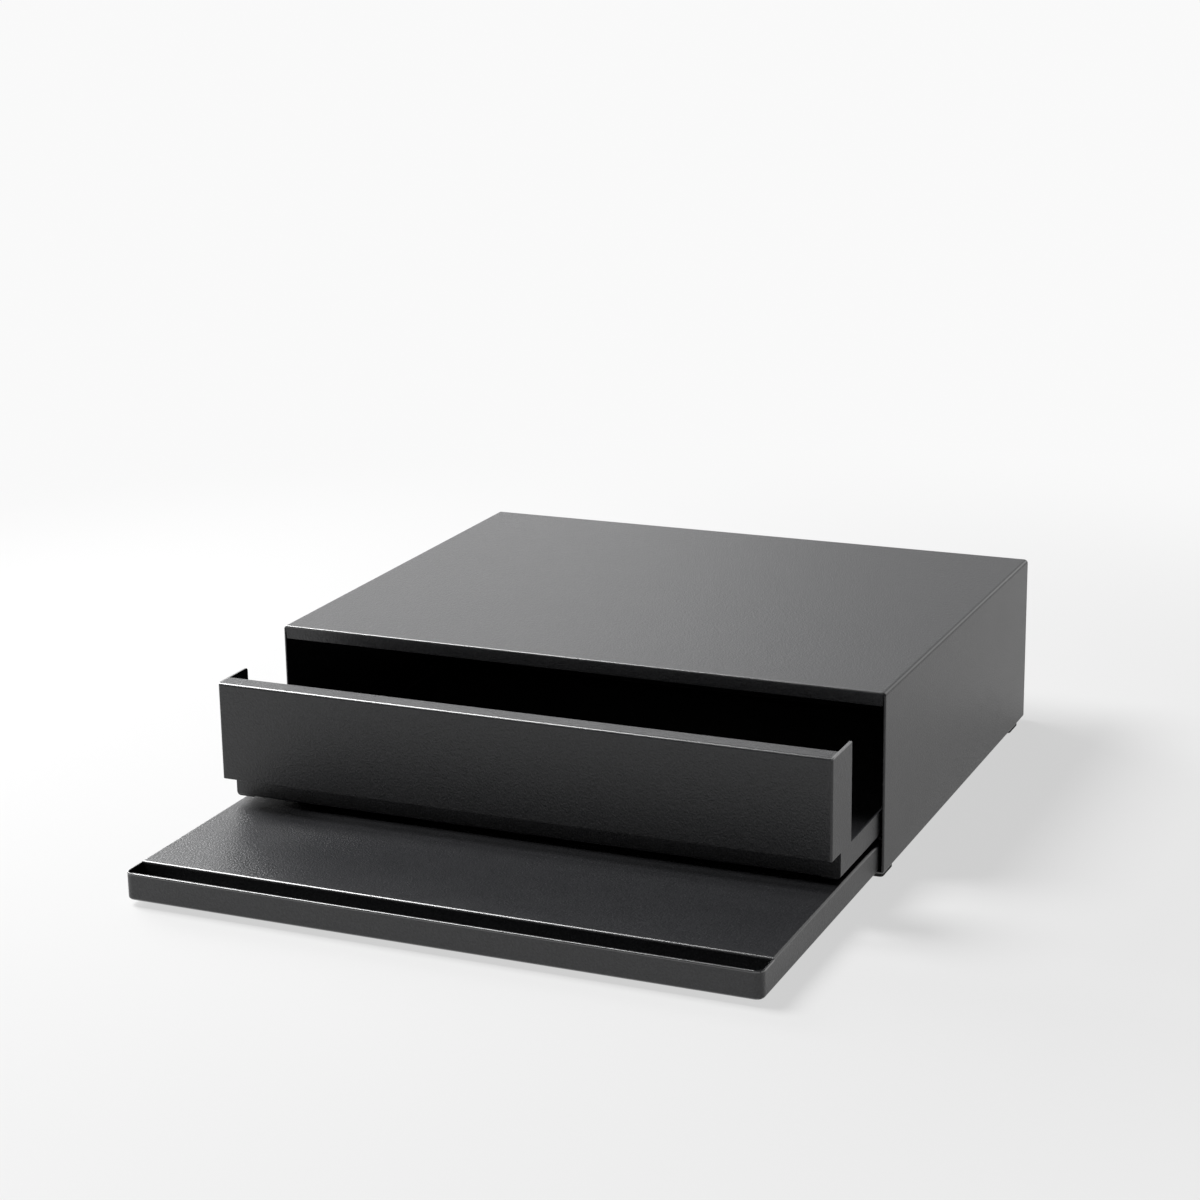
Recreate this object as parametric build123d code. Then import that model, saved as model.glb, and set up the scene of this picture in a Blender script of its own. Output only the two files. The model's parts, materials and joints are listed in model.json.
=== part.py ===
"""Countertop drawer: a low folded-steel housing with a drawer in it and a pull-out tray below the drawer.

Millimetres, +X to the right, +Y to the back, +Z up. The drawer and the tray are drawn where they stand
when partly pulled out. Depths are counted backwards from the front plane of the housing, so a piece that
is pulled out has a negative depth. Bends are given by their inside radius.
"""

import os

from build123d import *

# Housing
housing_width = 470.0
housing_depth = 375.0
housing_height = 135.0
shell_sheet = 1.5
top_bend = 1.5
bottom_bend = 0.5
edge_round = 1.2
lip_drop = 10.0
lip_end_gap = 0.3
lip_end_slant = 0.8
bottom_flange = 24.0
rear_flange = 12.0

# Back panel and its screws
panel_sheet = 1.2
panel_play = 0.3
screw_shank = 3.0
screw_head = 5.6
screw_head_height = 1.6
screw_tip_clearance = 1.0
screw_tip_bevel = 0.3
screw_tip_taper = 0.6
screw_head_round = 1.0
screw_hole_play = 0.1
screw_corner_inset = 34.0
screws_along_top = 4
screws_along_side = 2

# Feet
foot_height = 2.5
foot_length = 24.0
foot_width = 14.0
foot_side_inset = 1.0
front_foot_inset = 1.0
rear_foot_inset = 16.0
foot_corner = 3.0
foot_edge = 0.6

# Slip strips that carry the tray
strip_sheet = 0.5
strip_width = 11.0
strip_corner = 3.3
strip_side_inset = 0.5
strip_end_inset = 5.0

# Runners that carry the drawer, and the guides that hold it down
runner_sheet = 1.2
runner_bend = 0.8
runner_ledge = 16.0
runner_web = 18.0
runner_front_inset = 6.0
runner_rear_inset = 14.0
running_gap = 0.8
tray_headroom = 0.8
glide_height = 2.4
glide_width = 10.0
glide_length = 26.0
glide_side_inset = 3.2
glide_end_inset = 6.0
glide_corner = 3.0
glide_ramp = 0.7
hold_down_gap = 1.0
guide_web = 14.0
guide_ear_clearance = 9.0

# Stops and bumpers
bumper_height = 3.0
bumper_diameter = 10.0
bumper_round = 1.0
bumper_spread = 300.0
bumper_gap = 0.2
stop_gap = 0.3
stop_length = 12.0
stop_end_inset = 4.0
stop_rise = 7.5
stop_grip = 3.5
stop_inner_cheek = 2.4
stop_outer_cheek = 0.6
stop_round = 0.8
tray_stop_height = 9.0
tray_stop_foot = 14.0
tray_stop_width = 6.5
tray_stop_inset = 0.5

# Drawer: the corner bend and the face bend differ, since equal bends do not cut cleanly where they meet
drawer_sheet = 1.2
drawer_reach = 240.0
drawer_reach_left = 138.0
lip_gap = 4.5
low_wall = 19.3
grip_height = 18.8
face_setback = 18.5
ear_depth = 40.0
ear_round = 2.5
corner_bend = 0.6
face_bend = 0.8
top_flange = 14.5
face_hem = 9.0
wall_bend = 1.8
wall_flange = 14.0
pan_bend = 1.3

# Tray
tray_sheet = 1.2
tray_reach = 250.0
tray_reach_left = 15.0
tray_height = 20.4
tray_bend = 0.6
tray_corner = 4.8
tray_bottom_bend = 0.8
tray_return = 12.0
groove_depth = 22.0
lip_step = 0.6
lip_hem = 8.0
rib_depth = 9.0
rib_width = 20.0
rib_flange = 8.0
rib_end_gap = 2.0
rib_count = 2

# Rounds on a sheet's cut edges, as shares of its thickness
cut_edge_share = 0.4
round_limit = 0.85

# How far a cut runs past the face that it opens, and how exactly edges are found
cut_past = 1.0
tolerance = 1e-3

# Places that follow from the sizes above
drawer_out = drawer_reach - drawer_reach_left
tray_out = tray_reach - tray_reach_left
front_y = (tray_out - housing_depth - screw_head_height) / 2
half_width = housing_width / 2
inner_half = half_width - shell_sheet
carriage_half = inner_half - runner_sheet - running_gap
flange_inner_x = half_width - bottom_flange
panel_front = housing_depth - shell_sheet - panel_sheet
carriage_depth = panel_front - bumper_height - bumper_gap
screw_tip = bumper_height - screw_tip_clearance
flange_top = foot_height + shell_sheet
tray_base = flange_top + strip_sheet
tray_top_z = tray_base + tray_height
ledge_base = tray_top_z + tray_headroom
ledge_top = ledge_base + runner_sheet
drawer_base = ledge_top + glide_height
drawer_floor = drawer_base + drawer_sheet
low_wall_top = drawer_base + low_wall
face_base = drawer_base + grip_height
drawer_top = housing_height - lip_drop - lip_gap
guide_base = low_wall_top + hold_down_gap
glide_outer_x = carriage_half - glide_side_inset


def block(x, depth, z):
    """A box between pairs of X, depth and Z values."""
    size = [high - low for low, high in (x, depth, z)]
    centre = [(low + high) / 2 for low, high in (x, depth, z)]
    return Pos(centre[0], front_y + centre[1], centre[2]) * Box(*size)


def across(half):
    return (-half, half)


def slab(sketch, z):
    """A plan drawn in X and depth, raised between two Z values."""
    return Pos(0, front_y, z[0]) * extrude(sketch, z[1] - z[0])


def bar(sketch, x):
    """A profile drawn in depth and Z, run along X between two values."""
    return extrude(Plane((x[0], front_y, 0), x_dir=(0, 1, 0), z_dir=(1, 0, 0)) * sketch, x[1] - x[0])


def rail(sketch, depth):
    """A profile drawn in X and Z, run backwards between two depths."""
    plane = Plane((0, front_y + depth[0], 0), x_dir=(1, 0, 0), z_dir=(0, -1, 0))
    return extrude(plane * sketch, depth[0] - depth[1])


def outline(*points):
    return make_face(Polyline(*points, close=True))


def rounded(sketch, *corners):
    """Rounds the corners of a flat outline: each is (x, y, radius)."""
    for x, y, radius in corners:
        vertex = sketch.vertices().sort_by_distance(Vector(x, y, 0))[0]
        sketch = fillet(vertex, radius)
    return sketch


def edges_along(solid, axis, **place):
    """Straight edges along one axis whose middle lies at the given x, y or z."""
    found = solid.edges().filter_by(axis)
    for name, value in place.items():
        found = found.filter_by(lambda e: abs(abs(getattr(e.center(), name)) - abs(value)) < tolerance)
    return found


def mirrored(solid):
    return mirror(solid, about=Plane.YZ)


def group(solids):
    return Compound(children=list(solids))


def screw_places():
    """X and Z of the screws on the top and side return flanges."""
    row_z = housing_height - shell_sheet - rear_flange / 2
    row_half = half_width - screw_corner_inset
    step = 2 * row_half / (screws_along_top - 1)
    places = [(-row_half + step * i, row_z) for i in range(screws_along_top)]
    side_x = inner_half - rear_flange / 2
    low = flange_top + screw_corner_inset
    rise = (row_z - screw_corner_inset - low) / (screws_along_side - 1)
    for i in range(screws_along_side):
        places += [(side_x, low + rise * i), (-side_x, low + rise * i)]
    return places


def screw_drill(radius, depth):
    """Cylinders along Y at every screw, between two depths."""
    turned = Rotation(90, 0, 0) * Cylinder(radius, depth[1] - depth[0])
    middle = front_y + (depth[0] + depth[1]) / 2
    return [Pos(x, middle, z) * turned for x, z in screw_places()]


def housing_shell():
    """Top and sides in one sheet, with a front lip, bottom flanges and return flanges at the back."""
    body = block(across(half_width), (0, housing_depth), (foot_height, housing_height))
    body = fillet(edges_along(body, Axis.Y, Z=housing_height), top_bend + shell_sheet)
    body = fillet(edges_along(body, Axis.Y, Z=foot_height), bottom_bend + shell_sheet)
    soft_edge = min(edge_round, round_limit * shell_sheet)
    for end in (front_y, front_y + housing_depth):
        face = body.faces().filter_by(Axis.Y).sort_by_distance(Vector(0, end, housing_height / 2))[0]
        body = fillet(face.edges(), soft_edge)
    ceiling = housing_height - shell_sheet
    hollow = block(across(inner_half), (-cut_past, housing_depth - shell_sheet), (flange_top, ceiling))
    hollow = fillet(edges_along(hollow, Axis.Y, Z=ceiling), top_bend)
    hollow = fillet(edges_along(hollow, Axis.Y, Z=flange_top), bottom_bend)
    through = (-cut_past, housing_depth + cut_past)
    window = block(across(inner_half - rear_flange), through, (flange_top, ceiling - rear_flange))
    slot = block(across(flange_inner_x), through, (0, flange_top + shell_sheet))
    shell = body - hollow - window - slot
    lip_half = inner_half - lip_end_gap
    lip_low = housing_height - lip_drop
    lip = rail(
        outline(
            (-lip_half, ceiling),
            (lip_half, ceiling),
            (lip_half - lip_end_slant, lip_low),
            (-lip_half + lip_end_slant, lip_low),
        ),
        (0, shell_sheet),
    )
    lip = fillet(edges_along(lip, Axis.X, Z=lip_low), cut_edge_share * shell_sheet)
    drills = screw_drill(screw_shank / 2 + screw_hole_play, (panel_front, housing_depth + cut_past))
    return shell + lip - drills


def back_panel():
    """Flat sheet screwed to the inside of the shell's return flanges."""
    panel = block(
        across(inner_half - panel_play),
        (panel_front, panel_front + panel_sheet),
        (flange_top + panel_play, housing_height - shell_sheet - panel_play),
    )
    top = edges_along(panel, Axis.Y, Z=housing_height - shell_sheet - panel_play)
    panel = fillet(top, top_bend + panel_play)
    return panel - screw_drill(screw_shank / 2 + screw_hole_play, (panel_front - cut_past, housing_depth))


def back_screws():
    """Pan-head screws through the return flanges and the back panel."""
    shank = screw_tip + panel_sheet + shell_sheet
    profile = outline(
        (0, -shank),
        (screw_shank / 2 - screw_tip_bevel, -shank),
        (screw_shank / 2, -shank + screw_tip_taper),
        (screw_shank / 2, 0),
        (screw_head / 2, 0),
        (screw_head / 2, screw_head_height),
        (0, screw_head_height),
    )
    head_round = min(screw_head_round, round_limit * screw_head_height)
    profile = rounded(profile, (screw_head / 2, screw_head_height, head_round))
    screw = revolve(Plane.XZ * profile, Axis.Z)
    back = front_y + housing_depth
    return group(Pos(x, back, z) * (Rotation(-90, 0, 0) * screw) for x, z in screw_places())


def foot(depth):
    """A low pad under the right bottom flange."""
    outer = half_width - foot_side_inset
    pad = block((outer - foot_width, outer), (depth, depth + foot_length), (0, foot_height))
    pad = fillet(pad.edges().filter_by(Axis.Z), foot_corner)
    base = pad.faces().sort_by(Axis.Z)[0]
    return fillet(base.edges(), foot_edge)


def slip_strip():
    """Slippery strip on the right bottom flange, under the tray's side return."""
    outer = carriage_half - strip_side_inset
    ends = (strip_end_inset, panel_front - strip_end_inset)
    strip = block((outer - strip_width, outer), ends, (flange_top, tray_base))
    return fillet(strip.edges().filter_by(Axis.Z), strip_corner)


def angle_bar(base, ledge, web, depth):
    """A bent angle on the right side: a web on the shell's inner face and a ledge inwards at its foot."""
    inner = inner_half - ledge
    profile = outline(
        (inner, base),
        (inner_half, base),
        (inner_half, base + web),
        (inner_half - runner_sheet, base + web),
        (inner_half - runner_sheet, base + runner_sheet),
        (inner, base + runner_sheet),
    )
    profile = rounded(
        profile,
        (inner_half, base, runner_bend + runner_sheet),
        (inner_half - runner_sheet, base + runner_sheet, runner_bend),
    )
    return rail(profile, depth)


def runner():
    ends = (runner_front_inset, panel_front - runner_rear_inset)
    return angle_bar(ledge_base, runner_ledge, runner_web, ends)


def guide():
    """Short angle over the drawer's low wall: it holds the drawer down and its back end stops the drawer."""
    stop_front = carriage_depth - stop_end_inset - stop_length
    back_end = stop_front - drawer_reach - stop_gap
    return angle_bar(guide_base, runner_ledge, guide_web, (ear_depth + guide_ear_clearance, back_end))


def glide(depth):
    """Slippery pad between a runner's ledge and the drawer's underside, on the right."""
    width = (glide_outer_x - glide_width, glide_outer_x)
    pad = block(width, (depth, depth + glide_length), (ledge_top, drawer_base))
    pad = fillet(pad.edges().filter_by(Axis.Z), glide_corner)
    faces = pad.faces().filter_by(Axis.Z)
    return chamfer([e for face in faces for e in face.edges()], glide_ramp)


def bumpers(z):
    """Two soft buttons on the front of the back panel."""
    button = Rotation(90, 0, 0) * Cylinder(bumper_diameter / 2, bumper_height)
    middle = front_y + panel_front - bumper_height / 2
    nose = button.faces().sort_by(Axis.Y)[0]
    button = fillet(nose.edges(), bumper_round)
    return group(Pos(side * bumper_spread / 2, middle, z) * button for side in (-1, 1))


def tray_stop():
    """Small angle on the right bottom flange that catches the tray's back wall."""
    wall_front = carriage_depth - tray_sheet - tray_reach - stop_gap
    inner = flange_inner_x + tray_stop_inset
    profile = outline(
        (wall_front - tray_stop_foot, flange_top),
        (wall_front, flange_top),
        (wall_front, flange_top + tray_stop_height),
        (wall_front - runner_sheet, flange_top + tray_stop_height),
        (wall_front - runner_sheet, flange_top + runner_sheet),
        (wall_front - tray_stop_foot, flange_top + runner_sheet),
    )
    profile = rounded(
        profile,
        (wall_front, flange_top, runner_bend + runner_sheet),
        (wall_front - runner_sheet, flange_top + runner_sheet, runner_bend),
    )
    return bar(profile, (inner, inner + tray_stop_width))


def front_cornered(half, depth, corner):
    """A plan with its two front corners rounded."""
    left, right = across(half)
    near, far = depth
    plan = outline((left, near), (right, near), (right, far), (left, far))
    return rounded(plan, (left, near, corner), (right, near, corner))


def drawer_wrap():
    """Face, top flange and both L-shaped sides, folded from one sheet. The low walls turn in at the bottom."""
    start, end = -drawer_out, carriage_depth - drawer_out
    ear_end = start + ear_depth
    toe = start + face_setback
    side = outline(
        (start, face_base),
        (toe, face_base),
        (toe, drawer_base),
        (end, drawer_base),
        (end, low_wall_top),
        (ear_end, low_wall_top),
        (ear_end, drawer_top),
        (start, drawer_top),
    )
    side = rounded(
        side,
        (ear_end, drawer_top, ear_round),
        (start, drawer_top, face_bend + drawer_sheet),
    )
    plan = front_cornered(carriage_half, (start, end), corner_bend + drawer_sheet)
    body = slab(plan, (drawer_base, drawer_top)) & bar(side, across(carriage_half))
    body = fillet(edges_along(body, Axis.Y, Z=drawer_base), wall_bend + drawer_sheet)
    inside = carriage_half - drawer_sheet
    behind = end + cut_past
    inner_plan = front_cornered(inside, (start + drawer_sheet, behind), corner_bend)
    hollow = slab(inner_plan, (drawer_floor, drawer_top - drawer_sheet))
    hollow = fillet(edges_along(hollow, Axis.Y, Z=drawer_floor), wall_bend)
    mouth = block(across(inside), (start + top_flange, behind), (low_wall_top, drawer_top + cut_past))
    under = (drawer_base - cut_past, drawer_floor + cut_past)
    slot = block(across(carriage_half - wall_flange), (toe - cut_past, behind), under)
    hem = block(
        across(inside - corner_bend),
        (start + drawer_sheet, start + 2 * drawer_sheet),
        (face_base, face_base + face_hem),
    )
    wrap = body - hollow - mouth - slot + hem
    return fillet(edges_along(wrap, Axis.X, Z=face_base), cut_edge_share * drawer_sheet)


def drawer_pan():
    """Bottom between the wrap's turned-in flanges, with a front and a back upstand from wall to wall."""
    start, end = face_setback - drawer_out, carriage_depth - drawer_out
    half = carriage_half - wall_flange
    body = block(across(half), (start, end), (drawer_base, low_wall_top))
    body = fillet(edges_along(body, Axis.X, Z=drawer_base), pan_bend + drawer_sheet)
    inset = (start + drawer_sheet, end - drawer_sheet)
    hollow = block(across(half + cut_past), inset, (drawer_floor, low_wall_top + cut_past))
    pan = body - fillet(edges_along(hollow, Axis.X, Z=drawer_floor), pan_bend)
    for depth in ((start, inset[0]), (inset[1], end)):
        upstand = block(across(carriage_half - drawer_sheet), depth, (drawer_floor, low_wall_top))
        pan += fillet(edges_along(upstand, Axis.Y, Z=drawer_floor), wall_bend)
    return pan


def drawer_glide():
    end = carriage_depth - drawer_out
    return glide(end - glide_end_inset - glide_length)


def runner_glide():
    return glide(runner_front_inset + glide_end_inset)


def drawer_stop():
    """Saddle block on the back end of the right low wall; it runs up against the guide."""
    end = carriage_depth - drawer_out - stop_end_inset
    wall = (carriage_half - drawer_sheet, carriage_half)
    base = low_wall_top - stop_grip
    crown = low_wall_top + stop_rise
    width = (wall[0] - stop_inner_cheek, wall[1] + stop_outer_cheek)
    saddle = block(width, (end - stop_length, end), (base, crown))
    top = saddle.faces().sort_by(Axis.Z)[-1]
    saddle = fillet(top.edges(), min(stop_round, stop_outer_cheek))
    through = (end - stop_length - cut_past, end + cut_past)
    return saddle - block(wall, through, (base - cut_past, low_wall_top))


def tray_top():
    """Plate with its sides, front and back folded down, and returns that run on the slip strips."""
    start, end = groove_depth - tray_out, carriage_depth - tray_out
    body = block(across(carriage_half), (start, end), (tray_base, tray_top_z))
    body = fillet(edges_along(body, Axis.Y, Z=tray_base), tray_bottom_bend + tray_sheet)
    body = fillet(body.faces().sort_by(Axis.Z)[-1].edges(), tray_bend + tray_sheet)
    inset = (start + tray_sheet, end - tray_sheet)
    height = (tray_base + tray_sheet, tray_top_z - tray_sheet)
    hollow = block(across(carriage_half - tray_sheet), inset, height)
    floor = (tray_base - cut_past, tray_base + 2 * tray_sheet)
    slot = block(across(carriage_half - tray_return), inset, floor)
    return body - hollow - slot


def tray_front():
    """Front band of the tray: rounded corners, the floor of the finger groove and a hem along the lip."""
    start, end = -tray_out, groove_depth - tray_out
    lip_top = tray_top_z - lip_step
    back_y = front_y + end
    body = slab(front_cornered(carriage_half, (start, end), tray_corner + tray_sheet), (tray_base, lip_top))
    low = body.faces().sort_by(Axis.Z)[0].edges()
    body = fillet(low.filter_by(lambda e: e.center().Y < back_y - tolerance), tray_bottom_bend + tray_sheet)
    inside = carriage_half - tray_sheet
    hollow = front_cornered(inside, (start + tray_sheet, end + cut_past), tray_corner)
    band = body - slab(hollow, (tray_base + tray_sheet, lip_top + cut_past))
    rim = band.faces().sort_by(Axis.Z)[-1].edges()
    band = fillet(rim.filter_by(lambda e: e.center().Y < back_y - tolerance), cut_edge_share * tray_sheet)
    straight = across(inside - tray_corner)
    hem_base = lip_top - lip_hem
    room = block(straight, (start - cut_past, start + tray_sheet), (hem_base, lip_top + cut_past))
    hem = block(straight, (start, start + 2 * tray_sheet), (hem_base, lip_top))
    fold = hem.faces().sort_by(Axis.Z)[-1].edges().filter_by(Axis.X)
    return band - room + fillet(fold, round_limit * tray_sheet)


def tray_ribs():
    """Hat-section stiffeners under the plate, from side to side."""
    under = tray_top_z - tray_sheet
    foot_half = rib_width / 2 + rib_flange
    web = rib_width / 2
    profile = outline(
        (-foot_half, under),
        (-web, under),
        (-web + tray_sheet, under),
        (-web + tray_sheet, under - rib_depth + tray_sheet),
        (web - tray_sheet, under - rib_depth + tray_sheet),
        (web - tray_sheet, under),
        (foot_half, under),
        (foot_half, under - tray_sheet),
        (web, under - tray_sheet),
        (web, under - rib_depth),
        (-web, under - rib_depth),
        (-web, under - tray_sheet),
        (-foot_half, under - tray_sheet),
    )
    half = carriage_half - tray_sheet - rib_end_gap
    step = (carriage_depth - groove_depth) / (rib_count + 1)
    places = [groove_depth - tray_out + step * (i + 1) for i in range(rib_count)]
    return [bar(Pos(place, 0) * profile, across(half)) for place in places]


def nodes():
    """Every node by name."""
    made = {
        "housing_shell": housing_shell(),
        "back_panel": back_panel(),
        "back_screws": back_screws(),
        "drawer_bumpers": bumpers((drawer_base + low_wall_top) / 2),
        "tray_bumpers": bumpers((tray_base + tray_top_z) / 2),
        "drawer_wrap": drawer_wrap(),
        "drawer_pan": drawer_pan(),
        "tray_top": tray_top(),
        "tray_front": tray_front(),
    }
    front_rib, rear_rib = tray_ribs()
    made["tray_rib_front"] = front_rib
    made["tray_rib_rear"] = rear_rib
    pairs = {
        "foot_front": foot(front_foot_inset),
        "foot_rear": foot(housing_depth - rear_foot_inset - foot_length),
        "slip_strip": slip_strip(),
        "runner": runner(),
        "runner_glide": runner_glide(),
        "guide": guide(),
        "tray_stop": tray_stop(),
        "drawer_glide": drawer_glide(),
        "drawer_stop": drawer_stop(),
    }
    for name, right in pairs.items():
        made[name + "_right"] = right
        made[name + "_left"] = mirrored(right)
    return made


def main():
    os.makedirs("parts", exist_ok=True)
    for name, shape in nodes().items():
        export_step(shape, os.path.join("parts", name + ".step"))


main()
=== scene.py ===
"""Looks of the countertop drawer: powder coat, small fittings, studio light and the photographed view."""

import json
import math

import bpy
from mathutils import Matrix, Vector


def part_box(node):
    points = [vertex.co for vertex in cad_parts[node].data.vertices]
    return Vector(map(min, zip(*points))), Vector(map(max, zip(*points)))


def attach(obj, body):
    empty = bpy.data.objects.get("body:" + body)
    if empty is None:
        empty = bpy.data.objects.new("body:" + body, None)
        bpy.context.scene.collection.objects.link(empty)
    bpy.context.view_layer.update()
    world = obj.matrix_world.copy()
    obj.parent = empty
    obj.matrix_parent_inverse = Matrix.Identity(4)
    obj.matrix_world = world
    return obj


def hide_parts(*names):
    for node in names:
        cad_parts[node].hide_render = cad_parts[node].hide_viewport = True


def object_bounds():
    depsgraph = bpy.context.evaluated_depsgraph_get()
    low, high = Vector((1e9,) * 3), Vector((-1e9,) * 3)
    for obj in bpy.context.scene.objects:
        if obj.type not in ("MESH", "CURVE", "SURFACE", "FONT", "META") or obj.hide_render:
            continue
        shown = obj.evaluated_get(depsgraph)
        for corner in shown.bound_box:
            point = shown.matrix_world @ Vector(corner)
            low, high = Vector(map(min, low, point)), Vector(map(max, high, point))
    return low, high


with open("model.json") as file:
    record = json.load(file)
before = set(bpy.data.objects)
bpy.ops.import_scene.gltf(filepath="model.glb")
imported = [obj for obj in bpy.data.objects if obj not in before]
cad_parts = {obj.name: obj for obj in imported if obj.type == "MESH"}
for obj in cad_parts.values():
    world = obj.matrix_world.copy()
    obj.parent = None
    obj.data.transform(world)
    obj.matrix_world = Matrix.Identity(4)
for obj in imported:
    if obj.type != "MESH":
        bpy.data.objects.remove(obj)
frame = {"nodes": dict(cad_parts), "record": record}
cad_low, cad_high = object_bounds()

# The photographed view: where the camera stands from the middle of the housing's front bottom edge
CAMERA_OFFSET = Vector((0.7673, -1.7026, 0.7042))
CAMERA_YAW = 0.4119
CAMERA_PITCH = 0.2762
CAMERA_ROLL = -0.0156
CAMERA_LENS = 82.0
SENSOR_WIDTH = 36.0

# Studio light: large lamps as (name, place, size, power) in dim surroundings
LAMPS = [
    ("top", Vector((-1.5, -0.2, 2.2)), 1.4, 95.0),
    ("side", Vector((-2.4, 1.2, 1.0)), 1.6, 66.0),
    ("edge", Vector((-1.6, 2.2, 1.1)), 2.0, 9.5),
]
AMBIENT = 0.015

# Backdrop: the surroundings look white, and the object mirrors the backdrop that stands behind it
BACKDROP_WHITE = 0.95
BACKDROP_AXIS = Vector((0.0, 0.99, 0.14)).normalized()
BACKDROP_FALL = 5.0

# Floor: it fades away from the object into the even white of the backdrop
FLOOR_REACH = 30.0
FLOOR_COLOUR = (0.62, 0.62, 0.62, 1.0)
FLOOR_LIFT = 0.65
FADE_START = 0.5
FADE_END = 1.25
SIGHT_END = 4 * FLOOR_REACH
WHITE = (1.0, 1.0, 1.0, 1.0)

# Noise: its middle value, and the part of its range that a colour ramp spreads over
NOISE_MIDDLE = 0.5
RAMP_DARK = 0.35
RAMP_LIGHT = 0.65

# Powder coat: a fine grain over a slow unevenness
COAT_DARK = (0.0145, 0.0149, 0.0165, 1.0)
COAT_LIGHT = (0.036, 0.0367, 0.0395, 1.0)
COAT_ROUGHNESS = 0.36
COAT_IOR = 1.55
GRAIN_SIZE = 0.0014
GRAIN_DEPTH = 0.00032
GRAIN_DETAIL = 2.0
GRAIN_FINENESS = 0.6
GRAIN_TONE = 0.65
GRAIN_ROUGHNESS = 0.16
MOTTLE_SIZE = 0.03
MOTTLE_DETAIL = 3.0
MOTTLE_FINENESS = 0.5
MOTTLE_TONE = 0.1
MOTTLE_ROUGHNESS = 0.03

# Film: a smoother coat on the bends, which starts and is full this near to a piece's upper and lower edges
FILM_ROUGHNESS = 0.28
FILM_IOR = 1.7
FILM_START = 0.0017
FILM_FULL = 0.0011

# Small fittings: the finish of each slot as (name, darkest colour, lightest colour, roughness, grain size)
FITTINGS = {
    "rubber": ("black_rubber", (0.012, 0.012, 0.012, 1.0), (0.022, 0.022, 0.022, 1.0), 0.7, 0.001),
    "nylon": ("black_nylon", (0.02, 0.02, 0.021, 1.0), (0.03, 0.03, 0.031, 1.0), 0.45, 0.002),
    "slip_tape": ("smooth_tape", (0.04, 0.04, 0.04, 1.0), (0.055, 0.055, 0.055, 1.0), 0.35, 0.004),
    "screw_black": ("blackened_steel", (0.018, 0.018, 0.019, 1.0), (0.03, 0.03, 0.031, 1.0), 0.4, 0.0006),
}
FITTING_DETAIL = 3.0
FITTING_FINENESS = 0.5
FITTING_UNEVENNESS = 0.2
FITTING_BUMP = 0.3
FITTING_DEPTH_SHARE = 0.1

# Back screws: shares of the head's radius, for the tip of the shank's radius, for a taper of the wide end
RECESS_LENGTH = 1.15
RECESS_WIDTH = 0.3
RECESS_DEPTH = 0.42
RECESS_TAPER = 0.6
HEAD_ROUND = 0.36
SHANK_SHARE = 0.53
TIP_LENGTH = 0.8
TIP_TAPER = 0.8

# Mesh of the back screws: points closer together than the spacing belong to one screw
HEAD_SIDES = 48
ROUND_SEGMENTS = 5
SMOOTH_ANGLE = math.radians(35)
FACING_SHARE = 0.5
SCREW_SPACING = 0.008


class Wire:
    """An output of a shader node. Arithmetic on wires adds Math nodes."""

    def __init__(self, tree, socket):
        self.tree = tree
        self.socket = socket

    def maths(self, operation, first, second):
        return self.tree.node("ShaderNodeMath", {"operation": operation}, {0: first, 1: second})

    def __add__(self, other):
        return self.maths("ADD", self, other)

    def __radd__(self, other):
        return self.maths("ADD", other, self)

    def __sub__(self, other):
        return self.maths("SUBTRACT", self, other)

    def __rsub__(self, other):
        return self.maths("SUBTRACT", other, self)

    def __mul__(self, other):
        return self.maths("MULTIPLY", self, other)

    def __rmul__(self, other):
        return self.maths("MULTIPLY", other, self)

    def __pow__(self, other):
        return self.maths("POWER", self, other)

    def __rpow__(self, other):
        return self.maths("POWER", other, self)

    def at_most(self, other):
        return self.maths("MINIMUM", self, other)

    def at_least(self, other):
        return self.maths("MAXIMUM", self, other)


class Tree:
    """The node tree of one material or world, wired from scratch."""

    def __init__(self, owner):
        owner.use_nodes = True
        self.nodes = owner.node_tree.nodes
        self.links = owner.node_tree.links
        self.nodes.clear()

    def node(self, kind, settings=None, sockets=None, output=0):
        """Adds a node, sets its settings, then feeds its sockets with values or wires."""
        made = self.nodes.new(kind)
        for name, value in (settings or {}).items():
            if name == "stops":
                self.set_stops(made.color_ramp, value)
            else:
                setattr(made, name, value)
        for name, value in (sockets or {}).items():
            if isinstance(value, Wire):
                self.links.new(value.socket, made.inputs[name])
            else:
                made.inputs[name].default_value = value
        return Wire(self, made.outputs[output]) if len(made.outputs) else None

    def set_stops(self, ramp, stops):
        while len(ramp.elements) < len(stops):
            ramp.elements.new(1.0)
        for element, (place, colour) in zip(ramp.elements, stops):
            element.position = place
            element.color = colour


def noise(tree, place, size, detail, fineness):
    """Noise whose patches are about that size."""
    sockets = {"Vector": place, "Scale": 1 / size, "Detail": detail, "Roughness": fineness}
    return tree.node("ShaderNodeTexNoise", {}, sockets)


def shade(tree, tone, dark, light):
    """A colour between dark and light."""
    stops = [(RAMP_DARK, dark), (RAMP_LIGHT, light)]
    return tree.node("ShaderNodeValToRGB", {"stops": stops}, {"Fac": tone})


def blend(tree, value, start, end, first, last):
    """Eases from first to last while the value goes from start to end."""
    sockets = {"Value": value, "From Min": start, "From Max": end, "To Min": first, "To Max": last}
    return tree.node("ShaderNodeMapRange", {"interpolation_type": "SMOOTHSTEP"}, sockets)


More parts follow.
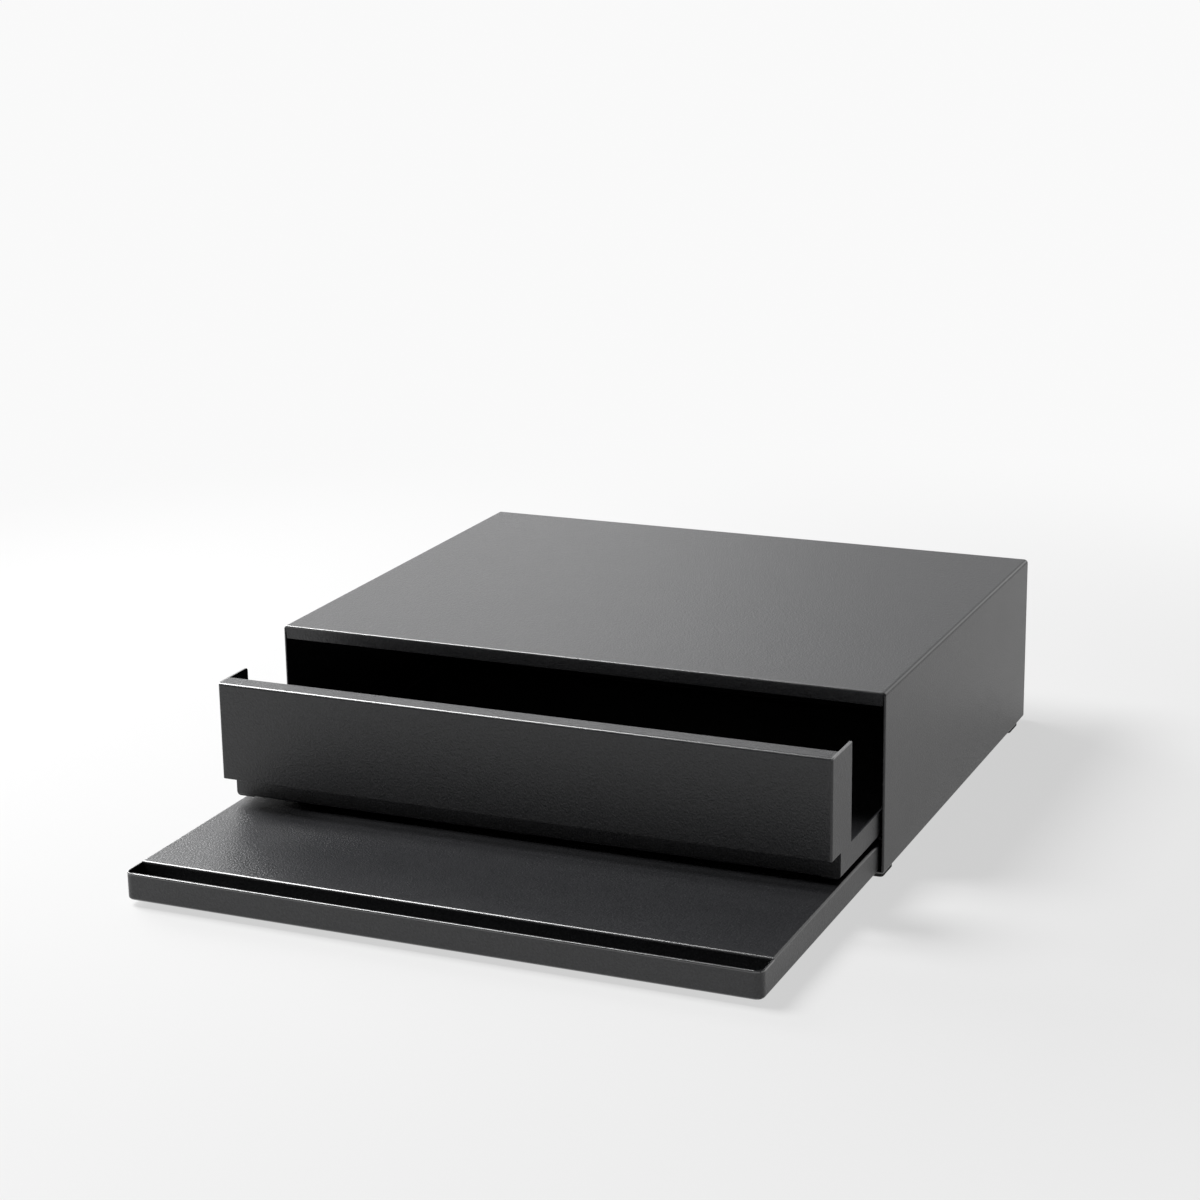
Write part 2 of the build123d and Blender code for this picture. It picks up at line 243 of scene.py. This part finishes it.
def bends(tree, place, low, high):
    """One on the rounded upper and lower edges of the box from low to high, and nought on its flats."""
    from_low = tree.node("ShaderNodeVectorMath", {"operation": "SUBTRACT"}, {0: place, 1: low})
    to_high = tree.node("ShaderNodeVectorMath", {"operation": "SUBTRACT"}, {0: high, 1: place})
    gaps = tree.node("ShaderNodeVectorMath", {"operation": "MINIMUM"}, {0: from_low, 1: to_high})
    x, y, z = [tree.node("ShaderNodeSeparateXYZ", {}, {0: gaps}, axis) for axis in "XYZ"]
    edge_gap = x.at_most(y).at_least(z)
    return blend(tree, edge_gap, FILM_START, FILM_FULL, 0.0, 1.0)


def powder_coat(node):
    """Matt charcoal powder coat with a fine orange-peel grain, for the node of that name."""
    material = bpy.data.materials.new("charcoal_" + node)
    tree = Tree(material)
    place = tree.node("ShaderNodeTexCoord", output="Object")
    grain = noise(tree, place, GRAIN_SIZE, GRAIN_DETAIL, GRAIN_FINENESS) - NOISE_MIDDLE
    mottle = noise(tree, place, MOTTLE_SIZE, MOTTLE_DETAIL, MOTTLE_FINENESS) - NOISE_MIDDLE
    tone = NOISE_MIDDLE + grain * GRAIN_TONE + mottle * MOTTLE_TONE
    bend = bends(tree, place, *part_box(node))
    peel = grain * (1 - bend)
    bump = tree.node("ShaderNodeBump", {}, {"Strength": 1.0, "Distance": GRAIN_DEPTH, "Height": peel})
    surface = tree.node(
        "ShaderNodeBsdfPrincipled",
        {},
        {
            "Base Color": shade(tree, tone, COAT_DARK, COAT_LIGHT),
            "Roughness": COAT_ROUGHNESS + peel * GRAIN_ROUGHNESS + mottle * MOTTLE_ROUGHNESS,
            "IOR": COAT_IOR,
            "Normal": bump,
            "Coat Weight": bend,
            "Coat Roughness": FILM_ROUGHNESS,
            "Coat IOR": FILM_IOR,
        },
    )
    tree.node("ShaderNodeOutputMaterial", {}, {"Surface": surface})
    return material


def fitting_finish(name, dark, light, roughness, grain_size):
    """An even dark colour with a faint texture, for rubber, plastic and blackened steel."""
    material = bpy.data.materials.new(name)
    tree = Tree(material)
    place = tree.node("ShaderNodeTexCoord", output="Object")
    grain = noise(tree, place, grain_size, FITTING_DETAIL, FITTING_FINENESS)
    depth = FITTING_DEPTH_SHARE * grain_size
    bump = tree.node("ShaderNodeBump", {}, {"Strength": FITTING_BUMP, "Distance": depth, "Height": grain})
    surface = tree.node(
        "ShaderNodeBsdfPrincipled",
        {},
        {
            "Base Color": shade(tree, grain, dark, light),
            "Roughness": roughness + (grain - NOISE_MIDDLE) * FITTING_UNEVENNESS,
            "Normal": bump,
        },
    )
    tree.node("ShaderNodeOutputMaterial", {}, {"Surface": surface})
    return material


def in_view(tree, mirrored_share):
    """One where seen straight or through something, a share where mirrored, and nought for other light."""
    seen = tree.node("ShaderNodeLightPath", output="Is Camera Ray")
    mirrored = tree.node("ShaderNodeLightPath", output="Is Glossy Ray")
    through = tree.node("ShaderNodeLightPath", output="Is Transmission Ray")
    return seen + through + mirrored * mirrored_share


def floor_finish():
    """Pale floor that keeps the shadow, lifted towards white where it is seen or mirrored."""
    material = bpy.data.materials.new("studio_floor")
    tree = Tree(material)
    place = tree.node("ShaderNodeTexCoord", output="Object")
    away = tree.node("ShaderNodeVectorMath", {"operation": "LENGTH"}, {0: place}, "Value")
    fade = blend(tree, away, FADE_START, FADE_END, FLOOR_LIFT, 1.0)
    paint = tree.node("ShaderNodeBsdfDiffuse", {}, {"Color": FLOOR_COLOUR})
    glow = tree.node("ShaderNodeEmission", {}, {"Color": WHITE, "Strength": BACKDROP_WHITE})
    surface = tree.node("ShaderNodeMixShader", {}, {0: in_view(tree, 1.0) * fade, 1: paint, 2: glow})
    tree.node("ShaderNodeOutputMaterial", {}, {"Surface": surface})
    return material


def surroundings():
    """Dim light from all round, and a white backdrop that is mirrored where it stands behind the object."""
    world = bpy.data.worlds.new("studio")
    bpy.context.scene.world = world
    tree = Tree(world)
    dim = tree.node("ShaderNodeBackground", {}, {"Color": WHITE, "Strength": AMBIENT})
    backdrop = tree.node("ShaderNodeBackground", {}, {"Color": WHITE, "Strength": BACKDROP_WHITE})
    look = tree.node("ShaderNodeTexCoord", output="Generated")
    sockets = {0: look, 1: BACKDROP_AXIS}
    along = tree.node("ShaderNodeVectorMath", {"operation": "DOT_PRODUCT"}, sockets, "Value")
    behind = along.at_least(0.0) ** BACKDROP_FALL
    light = tree.node("ShaderNodeMixShader", {}, {0: in_view(tree, behind), 1: dim, 2: backdrop})
    tree.node("ShaderNodeOutputWorld", {}, {"Surface": light})


def lamps():
    """Soft round lamps that all point at the object."""
    for name, place, size, power in LAMPS:
        data = bpy.data.lights.new(name, "AREA")
        data.shape = "DISK"
        data.size = size
        data.energy = power
        lamp = bpy.data.objects.new(name, data)
        bpy.context.scene.collection.objects.link(lamp)
        lamp.location = place
        lamp.rotation_mode = "QUATERNION"
        lamp.rotation_quaternion = (-place).to_track_quat("-Z", "Y")


def screw_boxes():
    """Lowest and highest corner of each screw of the CAD node."""
    groups = []
    for vertex in frame["nodes"]["back_screws"].data.vertices:
        near = [group for group in groups if (group[0].xz - vertex.co.xz).length < SCREW_SPACING]
        if near:
            near[0].append(vertex.co.copy())
        else:
            groups.append([vertex.co.copy()])
    corners = [(list(map(min, zip(*group))), list(map(max, zip(*group)))) for group in groups]
    return [(Vector(low), Vector(high)) for low, high in corners]


def pick_faces(piece, test):
    """Leaves the piece in edit mode with only those faces selected that pass the test."""
    bpy.ops.object.mode_set(mode="EDIT")
    bpy.ops.mesh.select_mode(type="FACE")
    bpy.ops.mesh.select_all(action="DESELECT")
    bpy.ops.object.mode_set(mode="OBJECT")
    for face in piece.data.polygons:
        face.select = test(face)
    bpy.ops.object.mode_set(mode="EDIT")


def faces_up(face):
    return face.normal.z > FACING_SHARE


def faces_down(face):
    return face.normal.z < -FACING_SHARE


def recess_bar(length, width, depth, top):
    """One arm of the cross recess: a bar that narrows towards the bottom."""
    bpy.ops.object.select_all(action="DESELECT")
    bpy.ops.mesh.primitive_cube_add(size=1.0, location=(0, 0, top), scale=(length, width, 2 * depth))
    bar = bpy.context.object
    pick_faces(bar, faces_down)
    bpy.ops.transform.resize(value=(RECESS_TAPER, RECESS_TAPER, 1.0))
    bpy.ops.object.mode_set(mode="OBJECT")
    return bar


def recessed_screw(radius, height, shank):
    """A pan-head screw along Z with its head on top, its seat at zero and a cross recess."""
    bpy.ops.object.select_all(action="DESELECT")
    bpy.ops.mesh.primitive_cylinder_add(
        vertices=HEAD_SIDES, radius=radius, depth=height, location=(0, 0, height / 2)
    )
    screw = bpy.context.object
    bpy.ops.object.transform_apply(location=True, rotation=False, scale=False)
    pick_faces(screw, faces_up)
    bpy.ops.mesh.bevel(offset=HEAD_ROUND * radius, segments=ROUND_SEGMENTS, affect="EDGES")
    pick_faces(screw, faces_down)
    bpy.ops.mesh.inset(thickness=radius * (1 - SHANK_SHARE))
    tip = TIP_LENGTH * SHANK_SHARE * radius
    bpy.ops.mesh.extrude_region_move(TRANSFORM_OT_translate={"value": (0, 0, tip - shank)})
    bpy.ops.mesh.extrude_region_move(TRANSFORM_OT_translate={"value": (0, 0, -tip)})
    bpy.ops.transform.resize(value=(TIP_TAPER, TIP_TAPER, 1.0))
    bpy.ops.object.mode_set(mode="OBJECT")
    for length, width in ((RECESS_LENGTH, RECESS_WIDTH), (RECESS_WIDTH, RECESS_LENGTH)):
        bar = recess_bar(length * radius, width * radius, RECESS_DEPTH * radius, height)
        cut = screw.modifiers.new("recess", "BOOLEAN")
        cut.operation = "DIFFERENCE"
        cut.object = bar
        bpy.context.view_layer.objects.active = screw
        bpy.ops.object.modifier_apply(modifier=cut.name)
        bpy.data.objects.remove(bar)
    return screw


def back_screws(finish):
    """The screws of the back panel, one modelled and copied to every place of the CAD node."""
    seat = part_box("housing_shell")[1].y
    boxes = screw_boxes()
    low, high = boxes[0]
    pattern = recessed_screw((high.x - low.x) / 2, high.y - seat, seat - low.y)
    copies = []
    for low, high in boxes:
        bpy.ops.object.select_all(action="DESELECT")
        pattern.select_set(True)
        bpy.context.view_layer.objects.active = pattern
        bpy.ops.object.duplicate()
        screw = bpy.context.object
        screw.rotation_euler = (-math.pi / 2, 0, 0)
        screw.location = ((low.x + high.x) / 2, seat, (low.z + high.z) / 2)
        bpy.ops.object.transform_apply(location=True, rotation=True, scale=True)
        copies.append(screw)
    bpy.data.objects.remove(pattern)
    bpy.ops.object.select_all(action="DESELECT")
    for screw in copies:
        screw.select_set(True)
    bpy.context.view_layer.objects.active = copies[0]
    bpy.ops.object.join()
    screws = bpy.context.object
    bpy.ops.object.shade_smooth_by_angle(angle=SMOOTH_ANGLE)
    screws.name = "recessed_back_screws"
    screws.data.materials.clear()
    screws.data.materials.append(finish)
    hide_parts("back_screws")
    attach(screws, "housing")


def floor():
    """A wide plane at the height of the feet."""
    bpy.ops.object.select_all(action="DESELECT")
    bpy.ops.mesh.primitive_plane_add(size=2 * FLOOR_REACH, location=(0, 0, cad_low.z))
    plane = bpy.context.object
    plane.name = "floor"
    plane.data.materials.append(floor_finish())


def camera():
    """The photographed view."""
    low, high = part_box("housing_shell")
    data = bpy.data.cameras.new("camera")
    data.sensor_width = SENSOR_WIDTH
    data.lens = CAMERA_LENS
    data.clip_end = SIGHT_END
    view = bpy.data.objects.new("camera", data)
    bpy.context.scene.collection.objects.link(view)
    turn = Matrix.Rotation(CAMERA_YAW, 4, "Z") @ Matrix.Rotation(math.pi / 2 - CAMERA_PITCH, 4, "X")
    place = Matrix.Translation(Vector(((low.x + high.x) / 2, low.y, low.z)) + CAMERA_OFFSET)
    view.matrix_world = place @ turn @ Matrix.Rotation(CAMERA_ROLL, 4, "Z")
    bpy.context.scene.camera = view


def dress():
    """Gives every node its finish by its material slot."""
    finishes = {slot: fitting_finish(*values) for slot, values in FITTINGS.items()}
    for part in frame["record"]["subparts"]:
        node, slot = part["node"], part["material_slot"]
        mesh = frame["nodes"][node].data
        mesh.materials.clear()
        mesh.materials.append(powder_coat(node) if slot == "powder_coat" else finishes[slot])
    back_screws(finishes["screw_black"])


dress()
surroundings()
lamps()
floor()
camera()
bpy.context.scene.view_settings.view_transform = "Standard"
